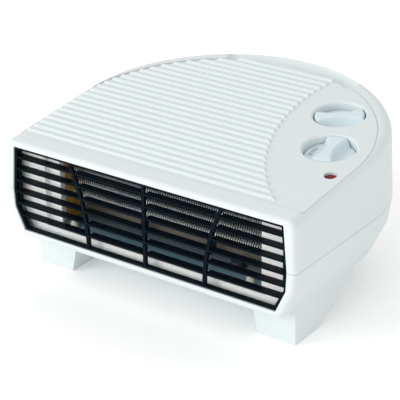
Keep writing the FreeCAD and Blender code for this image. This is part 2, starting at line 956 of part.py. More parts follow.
def make_feet(part, inset, low, high):
    """All four feet, or their hollows."""
    feet = []
    front_outer = half_width - d.front_foot_side_inset
    front_inner = front_outer - d.front_foot_width
    rear_start = d.depth - d.rear_foot_back_inset
    for label, side in (("left", -1), ("right", 1)):
        feet.append(make_foot(f"front_{label}_{part}", side, front_inner, front_outer,
                              d.front_foot_start, d.front_foot_length,
                              d.front_foot_inner_draft, d.front_foot_tail, inset, low, high))
        feet.append(make_foot(f"rear_{label}_{part}", side, d.rear_foot_inner, d.rear_foot_outer,
                              rear_start, d.rear_foot_length, d.rear_foot_flare,
                              d.rear_foot_flare, inset, low, high))
    return feet


def motor_places():
    """Where the two motor screws stand: label, x."""
    return [("left", fan_x - d.bracket_screw_x), ("right", fan_x + d.bracket_screw_x)]


inlet_seat = back - d.inlet_back_inset
inlet_height = knee_height + d.inlet_knee_rise
lower_bracket_z = core_base - d.bracket_lift - d.bracket_thickness
upper_bracket_z = core_top + d.bracket_lift
screw_seat = d.seam_height - d.screw_seat_drop


def make_lower_shell():
    hull = lower_form("lower_outer", Size.of(0), front, d.base_height)
    round_edges(hull, "lower_front_edge", d.front_edge_radius,
                lambda points: all_at(points, "y", front) and not all_at(points, "z", d.seam_height))
    core = lower_form("lower_core", d.wall, front + d.flange, floor_top)
    hollow = cut("lower_hollow", hull, core)
    skin = d.base_height + d.wall / 2
    solids = [hollow] + make_feet("foot", Size.of(0), Size.of(0), skin)
    for label, x, y in post_places():
        low = d.wall / 2 if label.startswith("front") else skin
        solids.append(cylinder(f"{label}_post", d.post_radius, d.seam_height - low, x, y, low))
    for label, x in motor_places():
        solids.append(cylinder(f"{label}_motor_pillar", d.mount_radius, lower_bracket_z - skin,
                               x, fan_y, skin))
    boss = cylinder("inlet_boss", d.inlet_boss_radius, d.inlet_boss_length + d.depth, 0,
                    inlet_seat - d.inlet_boss_length, inlet_height, axis=Y_AXIS)
    solids.append(common("inlet_boss_inside", boss, hull))
    blank = fuse("lower_blank", *solids)
    posts = [cylinder(f"{label}_post_core", d.post_radius, d.seam_height, x, y, 0)
             for label, x, y in post_places()]
    hollows = cut("foot_hollows_clear", fuse("foot_hollows", *make_feet("hollow", d.wall, d.wall,
                                                                        floor_top)), *posts)
    tools = [hollows]
    reach = d.cut_margin + d.grille_set_back + d.grille_depth
    tools.append(outlet_prism("lower_outlet", 0, front - d.cut_margin, reach + d.cut_margin))
    for label, x, y in post_places():
        tools.append(cylinder(f"{label}_well", d.well_radius, screw_seat + d.cut_margin, x, y,
                              -d.cut_margin))
        tools.append(cylinder(f"{label}_clearance", d.screw_radius + d.screw_hole_gap,
                              d.seam_height, x, y, screw_seat - d.cut_margin))
    for label, x in motor_places():
        tools.append(cylinder(f"{label}_motor_pilot", d.motor_screw_radius + d.bush_gap,
                              d.motor_screw_bite + d.cut_margin, x, fan_y,
                              lower_bracket_z - d.motor_screw_bite))
    tools.append(cylinder("inlet_recess", d.inlet_recess_radius, d.depth, 0,
                          inlet_seat, inlet_height, axis=Y_AXIS))
    tools.append(cylinder("inlet_hole", d.gland_radius + d.gland_gap, d.depth, 0,
                          inlet_seat - d.inlet_boss_length * 2, inlet_height,
                          axis=Y_AXIS))
    keep(cut("lower_cut", blank, *tools), "lower_shell")


def make_case_screws():
    """Four screws, from wells in the base up into the bosses of the upper shell."""
    screws = []
    for label, x, y in post_places():
        shank = cylinder(f"{label}_shank", d.screw_radius, d.screw_length, x, y, screw_seat)
        head = cylinder(f"{label}_head", d.screw_head_radius, d.screw_head_height, x, y,
                        screw_seat - d.screw_head_height)
        screws.append(fuse(f"{label}_screw", shank, head))
    keep(group("case_screw_set", *screws), "case_screws")


# Front grille

def upright_set(name, widen, start, depth):
    """Straight middle upright and a bowed one on each side, widened to the left for a relief."""
    body = new_body(name)
    low = opening_base
    rise = opening_top - low
    right = d.bar_width / 2
    left = right + widen
    centre = d.bar_x + d.bar_arc_radius

    def bow(offset):
        """Radius, and place of the top end, of an arc that starts at an offset from the bar."""
        radius = d.bar_arc_radius - offset
        return radius, centre - root(radius * radius - rise * rise)

    near_radius, near_top = bow(-left)
    far_radius, far_top = bow(right)
    left_near_radius, left_near_top = bow(-right)
    left_far_radius, left_far_top = bow(left)
    face = draw(front_sketch(body, f"{name}_face", start),
                rectangle(-left, right, low, opening_top),
                [(d.bar_x - left, low, near_radius), (d.bar_x + right, low),
                 (far_top, opening_top, -far_radius), (near_top, opening_top)],
                [(-d.bar_x + right, low), (-left_near_top, opening_top, left_near_radius),
                 (-left_far_top, opening_top), (-d.bar_x - left, low, -left_far_radius)])
    pad(body, f"{name}_pad", face, depth, backwards=True)
    return body


def make_grille():
    start = front + d.grille_set_back
    rim = outlet_prism("grille_rim", d.grille_gap, start, d.frame_depth)
    room = outlet_prism("grille_room", d.grille_gap, start, d.grille_depth)
    hole = outlet_prism("grille_hole", d.grille_gap + d.grille_frame, start - d.cut_margin,
                        d.grille_depth + d.cut_margin * 2)
    slats = new_body("slat_row_body")
    first = opening_base + d.slat_base_gap
    pitch = (opening_top - d.slat_top_gap - first) / (d.slat_count - 1)
    sketch = draw(front_sketch(slats, "slat_face", start),
                  rectangle(-half_width, half_width, first, first + d.slat_thickness))
    slat = pad(slats, "slat", sketch, d.slat_depth, backwards=True)
    row_of(slats, "slat_row", slat, (sketch, ["V_Axis"]), pitch, d.slat_count)
    bars = upright_set("grille_bars", 0, start, d.bar_depth)
    relief = upright_set("slat_relief", d.slat_end_gap, start + d.bar_depth, d.slat_depth)
    slats = cut("slats_between_bars", slats, relief)
    filling = common("grille_filling", room, fuse("slats_and_bars", slats, bars))
    ear_y = front + d.flange + d.ear_seat_gap
    ears = []
    for label, side in (("left", -1), ("right", 1)):
        inside = (opening_top_half - d.grille_gap - d.grille_frame) * side
        outside = (opening_seam_half + d.ear_reach) * side
        low_x, high_x = (outside, inside) if side < 0 else (inside, outside)
        ears.append(box(f"{label}_ear", low_x, high_x, ear_y, ear_y + d.ear_thickness,
                        d.seam_height - d.ear_seam_drop, opening_top - d.ear_top_gap))
    keep(fuse("grille_whole", cut("grille_ring", rim, hole), filling, *ears), "outlet_grille")


# Controls and indicator

def scoop_out(body, name, radius, y, z):
    """Cut a ball-shaped hollow, and make sure that it took something away."""
    doc.recompute()
    before = body.Shape.Volume
    item = body.newObject("PartDesign::SubtractiveSphere", name)
    bind(item, "Radius", radius)
    place(item, 0, y, z)
    doc.recompute()
    if body.Shape.Volume >= before:
        raise RuntimeError(f"{name} cuts nothing")


def make_knob(label, x, along, turn):
    """Low knob with a bow-tie ridge left between two round scoops."""
    body = new_body(f"{label}_knob_body")
    low = d.knob_lift - d.dish_depth
    edge = d.knob_radius - d.knob_edge_radius
    crown = low + d.knob_height
    turned(body, f"{label}_knob_disc",
           [(0, low), (d.knob_radius, low), (d.knob_radius, crown - d.knob_edge_radius),
            (edge, crown, d.knob_edge_radius), (0, crown)])
    ball = d.scoop_radius
    rise = ball - d.scoop_depth
    reach = d.ridge_width / 2 + root(ball * ball - rise * rise)
    scoop_out(body, f"{label}_near_scoop", ball, -reach, crown + rise)
    scoop_out(body, f"{label}_far_scoop", ball, reach, crown + rise)
    bore = draw_circles(plan_sketch(body, f"{label}_bore_plan", low), (0, 0, d.spindle_radius))
    pocket(body, f"{label}_bore", bore, d.knob_bore_depth, backwards=True)
    keep(on_panel(body, x, along, 0, turn), f"{label}_knob")


def make_spindle(label, x, along, turn):
    """Round spindle with a flat, from the control's body up into the knob."""
    body = new_body(f"{label}_spindle_body")
    low = -(d.dish_depth + d.wall + d.spindle_in_body)
    top = d.knob_lift - d.dish_depth + d.knob_bore_depth
    disc = draw_circles(plan_sketch(body, f"{label}_spindle_plan", low), (0, 0, d.spindle_radius))
    pad(body, f"{label}_spindle_rod", disc, top - low)
    keyed = draw(plan_sketch(body, f"{label}_flat_plan", top - d.knob_bore_depth),
                 rectangle(d.spindle_radius - d.spindle_flat, d.spindle_radius * 2,
                           -d.spindle_radius, d.spindle_radius))
    pocket(body, f"{label}_spindle_flat", keyed, d.knob_bore_depth + d.cut_margin, backwards=True)
    keep(on_panel(body, x, along, 0, turn), f"{label}_spindle")


def make_control_body(label, x, along, height):
    """Case of a rotary control, hung under its dish, with a row of flat terminals."""
    body = new_body(f"{label}_case")
    top = -(d.dish_depth + d.wall)
    half_x = d.control_body_width / 2
    half_y = d.control_body_depth / 2
    case = draw(plan_sketch(body, f"{label}_case_plan", top),
                rectangle(-half_x, half_x, -half_y, half_y))
    pad(body, f"{label}_case_block", case, height, backwards=True)
    bore = draw_circles(plan_sketch(body, f"{label}_bush_plan", top),
                        (0, 0, d.spindle_radius + d.bush_gap))
    pocket(body, f"{label}_bush", bore, d.spindle_in_body + d.bush_gap)
    tab = draw(plan_sketch(body, f"{label}_tab_plan", top - height),
               rectangle(-d.tab_spacing - d.tab_thickness / 2, -d.tab_spacing + d.tab_thickness / 2,
                         d.tab_width / -2, d.tab_width / 2))
    first = pad(body, f"{label}_tab", tab, d.tab_length, backwards=True)
    row_of(body, f"{label}_tabs", first, (tab, ["H_Axis"]), d.tab_spacing, d.tab_count)
    return on_panel(body, x, along)


def make_controls():
    heights = {"switch": d.switch_body_height, "thermostat": d.thermostat_body_height}
    for label, x, along, turn in knob_places():
        make_knob(label, x, along, turn)
        make_spindle(label, x, along, turn)
        keep(make_control_body(label, x, along, heights[label]), f"{label}_body")


def make_indicator():
    """Flat lens clipped up into the panel, and the lamp behind it."""
    lens = new_body("lens_body")
    shoulder = -(d.wall + d.lens_flange_height)
    crown = d.lens_rise - d.lens_sink
    turned(lens, "lens_form",
           [(0, shoulder), (d.lens_radius + d.lens_flange, shoulder),
            (d.lens_radius + d.lens_flange, -d.wall), (d.lens_radius, -d.wall),
            (d.lens_radius, -d.lens_sink), (d.lens_flat, crown, d.lens_dome_radius), (0, crown)])
    keep(on_panel(lens, lens_x, lens_along), "indicator_lens")
    lamp = new_body("lamp_body")
    tip = shoulder - d.lamp_length
    turned(lamp, "lamp_form",
           [(0, tip - d.lamp_base_length), (d.lamp_radius, tip - d.lamp_base_length),
            (d.lamp_radius, tip), (d.lamp_glass_radius, tip),
            (d.lamp_glass_radius, shoulder - d.lamp_glass_radius),
            (0, shoulder, d.lamp_glass_radius)])
    keep(on_panel(lamp, lens_x, lens_along), "neon_lamp")


# Air duct

throat_x = fan_x + scroll_radius
bulkhead_y = behind(d.bulkhead_behind)
step_y = behind(d.step_behind)
step_half = duct_half + d.step_out
duct_base = floor_top + d.duct_floor_gap


def duct_run(grow):
    """Duct wall seen from above, from the right front round the fan to the left front."""
    radius = scroll_radius + grow
    half = duct_half + grow
    return [(half, step_y), (half, behind(d.flare_behind)),
            (throat_x + grow, behind(d.throat_behind)), (throat_x + grow, fan_y),
            (fan_x, fan_y + radius, radius), (-half, fan_y, radius), (-half, step_y)]


def reversed_run(corners):
    """The same run walked the other way, with each arc handed to the corner it now reaches."""
    run = []
    radius = None
    for corner in reversed(corners):
        run.append((corner[0], corner[1], -radius) if radius else (corner[0], corner[1]))
        radius = corner[2] if len(corner) == 3 else None
    return run


def make_step(label, side):
    """Angle that carries the front wall back to a flange beside the element; side is 1 or -1."""
    body = new_body(f"{label}_step")
    outer = step_half + d.duct_wall
    # Only the left flange reaches in before the element
    inner = duct_half - d.step_in if side < 0 else duct_half
    back_y = step_y + d.duct_wall
    corners = [(outer, bulkhead_y), (outer, back_y), (inner, back_y), (inner, step_y),
               (step_half, step_y), (step_half, bulkhead_y)]
    if side < 0:
        corners = [(-x, y) for x, y in reversed(corners)]
    plan = draw(plan_sketch(body, f"{label}_step_plan", duct_base), corners)
    pad(body, f"{label}_step_angle", plan, duct_top - duct_base)
    return body


def make_duct():
    walls = new_body("duct_walls")
    plan = draw(plan_sketch(walls, "duct_plan", duct_base),
                duct_run(d.duct_wall) + reversed_run(duct_run(0)))
    pad(walls, "duct_pad", plan, duct_top - duct_base)
    bulkhead = new_body("duct_bulkhead")
    corners = opening_corners(d.duct_floor_gap)
    low = [(opening_base_half - d.bulkhead_foot, duct_base)]
    low_left = [(-opening_base_half + d.bulkhead_foot, duct_base)]
    face = draw(front_sketch(bulkhead, "bulkhead_face", bulkhead_y), low + corners + low_left,
                rectangle(-step_half, step_half, floor_top + d.bulkhead_sill_rise, duct_top))
    pad(bulkhead, "bulkhead_plate", face, d.duct_wall, backwards=True)
    keep(fuse("duct_whole", walls, bulkhead, make_step("left", -1), make_step("right", 1)),
         "fan_duct")


def make_duct_cover():
    """Lid of the duct, with a lipped intake over the fan."""
    lid = new_body("cover_body")
    run = duct_run(d.duct_wall)
    near = bulkhead_y + d.duct_wall + d.duct_floor_gap
    run[0] = (run[0][0], near)
    run[-1] = (run[-1][0], near)
    pad(lid, "cover_plate", draw(plan_sketch(lid, "cover_plan", duct_top), run),
        d.cover_thickness)
    lip = draw_circles(plan_sketch(lid, "lip_plan", duct_top),
                       (fan_x, fan_y, d.inlet_radius + d.cover_thickness))
    pad(lid, "lip_ring", lip, d.cover_thickness + d.inlet_lip)
    hole = draw_circles(plan_sketch(lid, "intake_plan", duct_top),
                        (fan_x, fan_y, d.inlet_radius))
    pocket(lid, "intake", hole, d.cover_thickness + d.inlet_lip, backwards=True)
    keep(lid, "duct_cover")


# Fan and motor

def at_fan(body):
    """Stand a body on the fan's upright axis."""
    return place(body, fan_x, fan_y, 0)


def z_axis(body):
    return (next(item for item in body.Origin.OriginFeatures if item.Role == "Z_Axis"), [""])


def make_wheel():
    """Centrifugal wheel: base plate and hub, curved blades, and a ring round their tips."""
    wheel = new_body("wheel_body")
    low = wheel_base
    web = low + d.wheel_plate
    top = duct_top - d.wheel_top_gap
    turned(wheel, "wheel_disc",
           [(d.shaft_radius, low), (d.wheel_radius, low), (d.wheel_radius, web),
            (d.hub_radius, web), (d.hub_radius, low + d.hub_height),
            (d.shaft_radius, low + d.hub_height)])
    half = d.blade_thickness / 2
    blade_plan = draw(plan_sketch(wheel, "blade_plan", web),
                      [(d.blade_inner, -half), (d.blade_outer, d.blade_sweep - half,
                                                d.blade_arc_radius),
                       (d.blade_outer, d.blade_sweep + half),
                       (d.blade_inner, half, -d.blade_arc_radius)])
    blade = pad(wheel, "blade", blade_plan, top - web)
    ring_of(wheel, "blades", blade, z_axis(wheel), d.blade_count)
    turned(wheel, "wheel_ring", rectangle(d.wheel_radius - d.wheel_ring, d.wheel_radius,
                                          top - d.wheel_ring, top))
    keep(at_fan(wheel), "impeller")


def make_motor():
    """Shaded-pole motor under the wheel."""
    bore = d.rotor_radius + d.air_gap
    shaft_base = floor_top + d.shaft_rise
    keep(cylinder("shaft_rod", d.shaft_radius, wheel_base + d.hub_height - shaft_base, fan_x, fan_y,
                  shaft_base), "motor_shaft")
    rotor = new_body("rotor_body")
    turned(rotor, "rotor_drum", rectangle(d.shaft_radius, d.rotor_radius, core_base, core_top))
    keep(at_fan(rotor), "rotor")

    core = new_body("core_body")
    core_plan = plan_sketch(core, "core_plan", core_base)
    outline = Outline(core_plan)
    outline.loop(rectangle(-d.core_half, d.core_half, -d.core_front, d.core_back))
    outline.loop(rectangle(-d.window_half, d.window_half, d.window_front, d.window_back))
    outline.circle(0, 0, bore)
    for side in (-d.bracket_screw_x, d.bracket_screw_x):
        outline.circle(side, 0, d.motor_screw_radius + d.screw_hole_gap)
    pad(core, "core_stack_pad", outline.close(), d.core_stack)
    keep(at_fan(core), "stator_core")

    winding = new_body("winding_body")
    low_y = d.window_back - d.coil_clear
    high_y = d.core_back + d.coil_clear
    low_z = core_base - d.coil_clear
    high_z = core_top + d.coil_clear
    wrap = d.coil_wall
    section = draw(side_sketch(winding, "winding_section"),
                   rectangle(low_y, high_y, low_z, high_z),
                   rounded_rectangle(low_y - wrap, high_y + wrap, low_z - wrap, high_z + wrap, wrap))
    pad(winding, "winding_pad", section, d.coil_half * 2, both_ways=True)
    keep(at_fan(winding), "motor_winding")


def make_bracket(label, strap_z, spacer_z):
    """Strap across the core that holds a bearing, on two spacers."""
    body = new_body(f"{label}_bracket_body")
    half = d.bracket_width / 2
    reach = d.bracket_screw_x + half
    screw_hole = d.motor_screw_radius + d.screw_hole_gap
    strap = Outline(plan_sketch(body, f"{label}_strap_plan", strap_z))
    strap.loop(rounded_rectangle(-reach, reach, -half, half, d.bracket_corner))
    strap.circle(0, 0, d.bush_radius + d.bush_gap)
    spacers = Outline(plan_sketch(body, f"{label}_spacer_plan", spacer_z))
    for x in (-d.bracket_screw_x, d.bracket_screw_x):
        strap.circle(x, 0, screw_hole)
        spacers.circle(x, 0, d.spacer_radius)
        spacers.circle(x, 0, screw_hole)
    pad(body, f"{label}_strap", strap.close(), d.bracket_thickness)
    pad(body, f"{label}_spacers", spacers.close(), d.bracket_lift)
    keep(at_fan(body), f"{label}_bearing_bracket")


def make_bearings():
    make_bracket("lower", lower_bracket_z, lower_bracket_z + d.bracket_thickness)
    make_bracket("upper", upper_bracket_z, upper_bracket_z - d.bracket_lift)
    bushes = []
    lower_bush_z = lower_bracket_z + d.bracket_thickness - d.bush_height
    for label, low in (("lower", lower_bush_z), ("upper", upper_bracket_z)):
        body = new_body(f"{label}_bush_body")
        turned(body, f"{label}_bush_form",
               rectangle(d.shaft_radius + d.shaft_gap, d.bush_radius, low, low + d.bush_height))
        bushes.append(at_fan(body))
    keep(group("bush_pair", *bushes), "bearing_bushes")
    screws = []
    low = lower_bracket_z - d.motor_screw_bite
    top = upper_bracket_z + d.bracket_thickness
    for label, x in motor_places():
        shank = cylinder(f"{label}_motor_shank", d.motor_screw_radius, top - low, x, fan_y, low)
        head = cylinder(f"{label}_motor_head", d.screw_head_radius, d.screw_head_height, x, fan_y,
                        top)
        screws.append(fuse(f"{label}_motor_screw", shank, head))
    keep(group("motor_screw_pair", *screws), "motor_screws")


# Heating element

tray_base = floor_top + d.tray_rise
tray_top = tray_base + d.tray_thickness
card_top = duct_top - d.card_top_gap
element_half = duct_half - d.card_gap
element_y = behind(d.card_behind + d.card_depth / 2)


def row_height(row):
    """Height of the middle of one row, with the rows spread evenly up the plates."""
    first = tray_top + d.coil_base_gap
    return first + (card_top - d.coil_top_gap - first) * row / (d.coil_rows - 1)


def make_cards():
    """Insulating plates: one at each end, and notched supports that bear the rows from behind."""
    near = behind(d.card_behind)
    clear = d.curl_radius + d.wire_diameter / 2 + d.card_hole_gap
    for label, low in (("left", -element_half), ("right", element_half - d.card_thickness)):
        card = box(f"{label}_card", low, low + d.card_thickness, near, near + d.card_depth,
                   tray_top, card_top)
        keep(card, f"{label}_end_plate")
    far = near + d.card_depth
    edge = element_y + d.support_set_back
    notch = root(clear * clear - d.support_set_back * d.support_set_back)
    supports = []
    for label, x in (("left", element_half / -3), ("right", element_half / 3)):
        body = new_body(f"{label}_support_body")
        corners = [(edge, tray_top), (far, tray_top), (far, card_top), (edge, card_top)]
        for row in reversed(range(int(d.coil_rows.value))):
            corners.append((edge, row_height(row) + notch))
            corners.append((edge, row_height(row) - notch, -clear))
        face = draw(side_sketch(body, f"{label}_support_face", x), corners)
        pad(body, f"{label}_support", face, d.card_thickness, both_ways=True)
        supports.append(body)
    keep(group("support_pair", *supports), "mica_supports")


def arc_along(start, heading, end):
    """Arc that leaves a point along a heading and reaches another point."""
    chord = end - start
    along = FreeCAD.Vector(chord).normalize()
    aside = heading - along * heading.dot(along)
    bend = math.acos(max(-1.0, min(1.0, heading.dot(along))))
    middle = (start + end) / 2 + aside.normalize() * (chord.Length / 2 * math.tan(bend / 2))
    return Part.Arc(start, middle, end).toShape()


def two_arcs(start, heading, end, leaving):
    """Pair of tangent arcs between two points with given headings."""
    chord = end - start
    both = heading + leaving
    square = 2 * (heading.dot(leaving) - 1)
    linear = -2 * chord.dot(both)
    constant = chord.dot(chord)
    reach = (-linear - math.sqrt(linear * linear - 4 * square * constant)) / (2 * square)
    joint = (start + end) / 2 + (heading - leaving) * (reach / 2)
    joint_heading = (end - leaving * reach) - (start + heading * reach)
    return [arc_along(start, heading, joint),
            arc_along(joint, joint_heading.normalize(), end)]


def coil_stations(row):
    """Points and headings along one row: a straight end, the curls, a straight end."""
    radius = d.curl_radius.value
    lead = d.wire_diameter.value
    end_x = (element_half - d.card_thickness).value
    centre = FreeCAD.Vector(0, element_y.value, row_height(row).value)
    curls = int(d.curl_count.value)
    curl_x = end_x - lead - radius
    steps = curls * QUARTERS
    pitch = 2 * curl_x / curls
    straight = FreeCAD.Vector(1, 0, 0)
    aside = FreeCAD.Vector(0, radius, 0)
    stations = [(centre + aside - straight * (end_x - lead), straight)]
    for step in range(steps + 1):
        angle = math.pi / 2 * (step + 1)
        x = -curl_x + 2 * curl_x * step / steps
        spoke = FreeCAD.Vector(0, math.cos(angle) * radius, math.sin(angle) * radius)
        heading = FreeCAD.Vector(pitch / (2 * math.pi), -spoke.z, spoke.y).normalize()
        stations.append((centre + spoke + straight * x, heading))
    stations.append((centre - aside + straight * (end_x - lead), straight))
    return stations


def least_gap(edges, wire):
    """Least clear distance between stretches of a wire that lie apart along its length."""
    points = [edge.valueAt(edge.FirstParameter + (edge.LastParameter - edge.FirstParameter) * share)
              for edge in edges for share in (0, 1 / 3, 2 / 3)]
    travelled = [0.0]
    for first, second in zip(points, points[1:]):
        travelled.append(travelled[-1] + first.distanceToPoint(second))
    apart = [first.distanceToPoint(second)
             for i, first in enumerate(points) for j, second in enumerate(points[i + 1:], i + 1)
             if travelled[j] - travelled[i] > math.pi * wire * 2]
    return min(apart) - wire


def make_coils():
    """Rows of curled heating wire, each one unbroken tube between the end plates."""
    wire = d.wire_diameter.value
    for row in range(int(d.coil_rows.value)):
        stations = coil_stations(row)
        lead = FreeCAD.Vector(wire, 0, 0)
        first, last = stations[0][0], stations[-1][0]
        edges = [Part.makeLine(first - lead, first)]
        for (start, heading), (end, leaving) in zip(stations, stations[1:]):
            edges += two_arcs(start, heading, end, leaving)
        edges.append(Part.makeLine(last, last + lead))
        section = Part.Wire(Part.Circle(first - lead, FreeCAD.Vector(1, 0, 0), wire / 2).toShape())
        item = doc.addObject("Part::Feature", f"coil_row_{row + 1}")
        item.Shape = Part.Wire(edges).makePipeShell([section], True, False)
        keep(item, f"heating_coil_{row + 1}")
        print(f"heating_coil_{row + 1}: least gap {least_gap(edges, wire):.2f} mm")


def make_tray():
    """Dark sheet below the rows, with its back edge turned up."""
    body = new_body("tray_body")
    near = behind(d.tray_start)
    far = behind(d.tray_back)
    sheet = d.tray_thickness
    section = draw(side_sketch(body, "tray_section"),
                   [(near, tray_base), (far, tray_base), (far, tray_top + d.tray_lip),
                    (far - sheet, tray_top + d.tray_lip), (far - sheet, tray_top),
                    (near, tray_top)])
    pad(body, "tray_sheet", section, element_half * 2, both_ways=True)
    keep(body, "element_tray")


def make_element_fittings():
    """Ceramic terminal beads and the thermal cut-out, all standing on the tray."""
    beads = []
    bead_x = element_half - d.bead_side_inset
    for label, x in (("left", -bead_x), ("right", bead_x)):
        body = new_body(f"{label}_bead_body")
        turned(body, f"{label}_bead_form",
               [(d.bead_bore, 0), (d.bead_radius, 0), (d.bead_radius, d.bead_height / 2),
                (d.bead_neck, d.bead_height / 2), (d.bead_neck, d.bead_height),
                (d.bead_bore, d.bead_height)])
        beads.append(place(body, x, behind(d.bead_behind), tray_top))
    keep(group("bead_pair", *beads), "element_terminals")
    cutout = new_body("cutout_body")
    turned(cutout, "cutout_form",
           [(0, 0), (d.cutout_radius, 0), (d.cutout_radius, d.cutout_foot),
            (d.cutout_can, d.cutout_foot), (d.cutout_can, d.cutout_height), (0, d.cutout_height)])
    keep(place(cutout, element_half - d.cutout_side_inset, element_y, tray_top), "thermal_cutout")


# Wiring

def make_gland():
    """Sleeve with a collar that fills its recess in the back wall."""
    body = new_body("gland_body")
    collar = d.inlet_recess_radius - d.gland_gap
    turned(body, "gland_form",
           [(d.gland_bore, -d.gland_tail), (d.gland_radius, -d.gland_tail), (d.gland_radius, 0),
            (collar, 0), (collar, d.gland_collar), (d.gland_bore, d.gland_collar)])
    turn = FreeCAD.Rotation(FreeCAD.Vector(0, 0, 1), Y_AXIS)
    body.Placement = FreeCAD.Placement(FreeCAD.Vector(), turn)
    keep(place(body, 0, inlet_seat, inlet_height), "cord_inlet")


def make_terminal_block():
    """Strip of screw terminals on the floor of the lower shell."""
    body = new_body("block_body")
    half = d.block_height / 2
    left = half_width - d.block_side_inset
    near = behind(d.block_behind)
    far = near + d.block_depth
    gap = d.block_slot / 2
    strip = draw(plan_sketch(body, "strip_plan", floor_top),
                 rectangle(left, left + d.block_pole * d.block_count, near, far))
    pad(body, "strip", strip, half)
    plan = Outline(plan_sketch(body, "pole_plan", floor_top + half))
    plan.loop(rectangle(left + gap, left + d.block_pole - gap, near, far))
    plan.circle(left + d.block_pole / 2, near + d.block_depth / 2, d.screw_radius)
    pole_plan = plan.close()
    pole = pad(body, "pole", pole_plan, half)
    row_of(body, "poles", pole, (pole_plan, ["H_Axis"]), d.block_pole, d.block_count)
    keep(body, "terminal_block")


make_upper_shell()
make_lower_shell()
make_case_screws()
make_grille()
make_controls()
make_indicator()
make_duct()
make_duct_cover()
make_wheel()
make_motor()
make_bearings()
make_tray()
make_cards()
make_coils()
make_element_fittings()
make_gland()
make_terminal_block()
doc.recompute()

for item in doc.Objects:
    if "Invalid" in item.State or "Error" in item.State:
        raise RuntimeError(f"{item.Label} did not build: {item.State}")
    if item.TypeId == "Part::MultiFuse":
        if item.Shape.Volume < max(shape.Shape.Volume for shape in item.Shapes) - TOLERANCE:
            raise RuntimeError(f"{item.Label} lost a piece")
for node in nodes:
    if node.Shape.isNull() or not node.Shape.isValid():
        raise RuntimeError(f"{node.Label} is not a sound solid")

os.makedirs(STEP_FOLDER, exist_ok=True)
for node in nodes:
    node.Shape.exportStep(os.path.join(STEP_FOLDER, f"{node.Label}.step"))
    print(f"{node.Label}: {len(node.Shape.Solids)} solids, {node.Shape.Volume / 1000:.2f} cm3")
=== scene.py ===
"""Looks of a flat fan heater: finishes, fine heating wire, knobs, dial marks, studio and camera."""

import json
import logging
import math
from collections.abc import Sequence
from dataclasses import dataclass, field
from enum import Enum

import bpy
import numpy as np
from mathutils import Matrix, Vector


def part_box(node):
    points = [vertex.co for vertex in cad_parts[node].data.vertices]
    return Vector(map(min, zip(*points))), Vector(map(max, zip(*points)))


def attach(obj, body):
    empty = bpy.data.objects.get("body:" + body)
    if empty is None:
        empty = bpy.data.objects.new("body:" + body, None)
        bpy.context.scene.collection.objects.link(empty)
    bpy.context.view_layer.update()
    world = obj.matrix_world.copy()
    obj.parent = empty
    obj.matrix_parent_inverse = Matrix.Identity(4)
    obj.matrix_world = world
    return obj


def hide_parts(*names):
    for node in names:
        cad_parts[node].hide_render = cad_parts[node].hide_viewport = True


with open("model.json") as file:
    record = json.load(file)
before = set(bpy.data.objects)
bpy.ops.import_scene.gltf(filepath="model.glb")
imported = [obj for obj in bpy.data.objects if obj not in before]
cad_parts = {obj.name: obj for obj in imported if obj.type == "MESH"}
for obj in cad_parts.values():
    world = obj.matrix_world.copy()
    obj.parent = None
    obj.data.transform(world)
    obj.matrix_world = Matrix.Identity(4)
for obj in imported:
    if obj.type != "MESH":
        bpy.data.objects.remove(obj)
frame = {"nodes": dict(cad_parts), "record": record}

LOG = logging.getLogger("fan_heater")
MM = 0.001
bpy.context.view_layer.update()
X_AXIS = np.array([1.0, 0.0, 0.0])

# A wave texture repeats at this scaled distance
WAVE_LENGTH = 2 * math.pi / 20
# Drawn grain is twenty times as long, along X, as it is wide
DRAWN_STRETCH = (0.05, 1.0, 1.0)
NOISE_DETAIL = 3.0

# Angle of each knob's ridge at rest, in degrees from the right, as in the photograph
RIDGE_DEGREES = {"thermostat": 35.0, "switch": 102.0}


def linear(colour: str) -> tuple[float, float, float, float]:
    """Turn an sRGB hex colour into linear light, by the curve of the sRGB standard.

    Args:
        colour: Six hex digits after a hash sign.

    Returns:
        Linear red, green and blue with full opacity.
    """
    parts = np.array([int(colour[i:i + 2], 16) for i in (1, 3, 5)]) / 255
    curve = np.where(parts <= 0.04045, parts / 12.92, ((parts + 0.055) / 1.055) ** 2.4)
    return (*(float(part) for part in curve), 1.0)


def add_node(tree: bpy.types.NodeTree, kind: str, settings: dict | None = None,
             links: dict | None = None) -> bpy.types.Node:
    """Add one shader node with its settings and links.

    Args:
        tree: Node tree that gets the node.
        kind: Type name of the node.
        settings: Values for sockets, or for properties where no socket has the name.
        links: Output sockets for input sockets by name or number.

    Returns:
        The new node.
    """
    node = tree.nodes.new(kind)
    for name, value in (settings or {}).items():
        if name in node.inputs:
            node.inputs[name].default_value = value
        else:
            setattr(node, name, value)
    for name, output in (links or {}).items():
        tree.links.new(output, node.inputs[name])
    return node


class Grain(Enum):
    """How the surface of a finish was made."""

    SMOOTH = "smooth"
    SPARK = "spark-eroded mould"
    FLAKE = "pressed flakes"
    DRAWN = "drawn or rolled metal"
    STACK = "stacked sheets"
    WOUND = "wound wire"
    # Heat tint on the tray; on the heating wire the same blend is painted shade behind the curls
    HEAT_TINT_AND_SHADE = "heat tint from front to back"


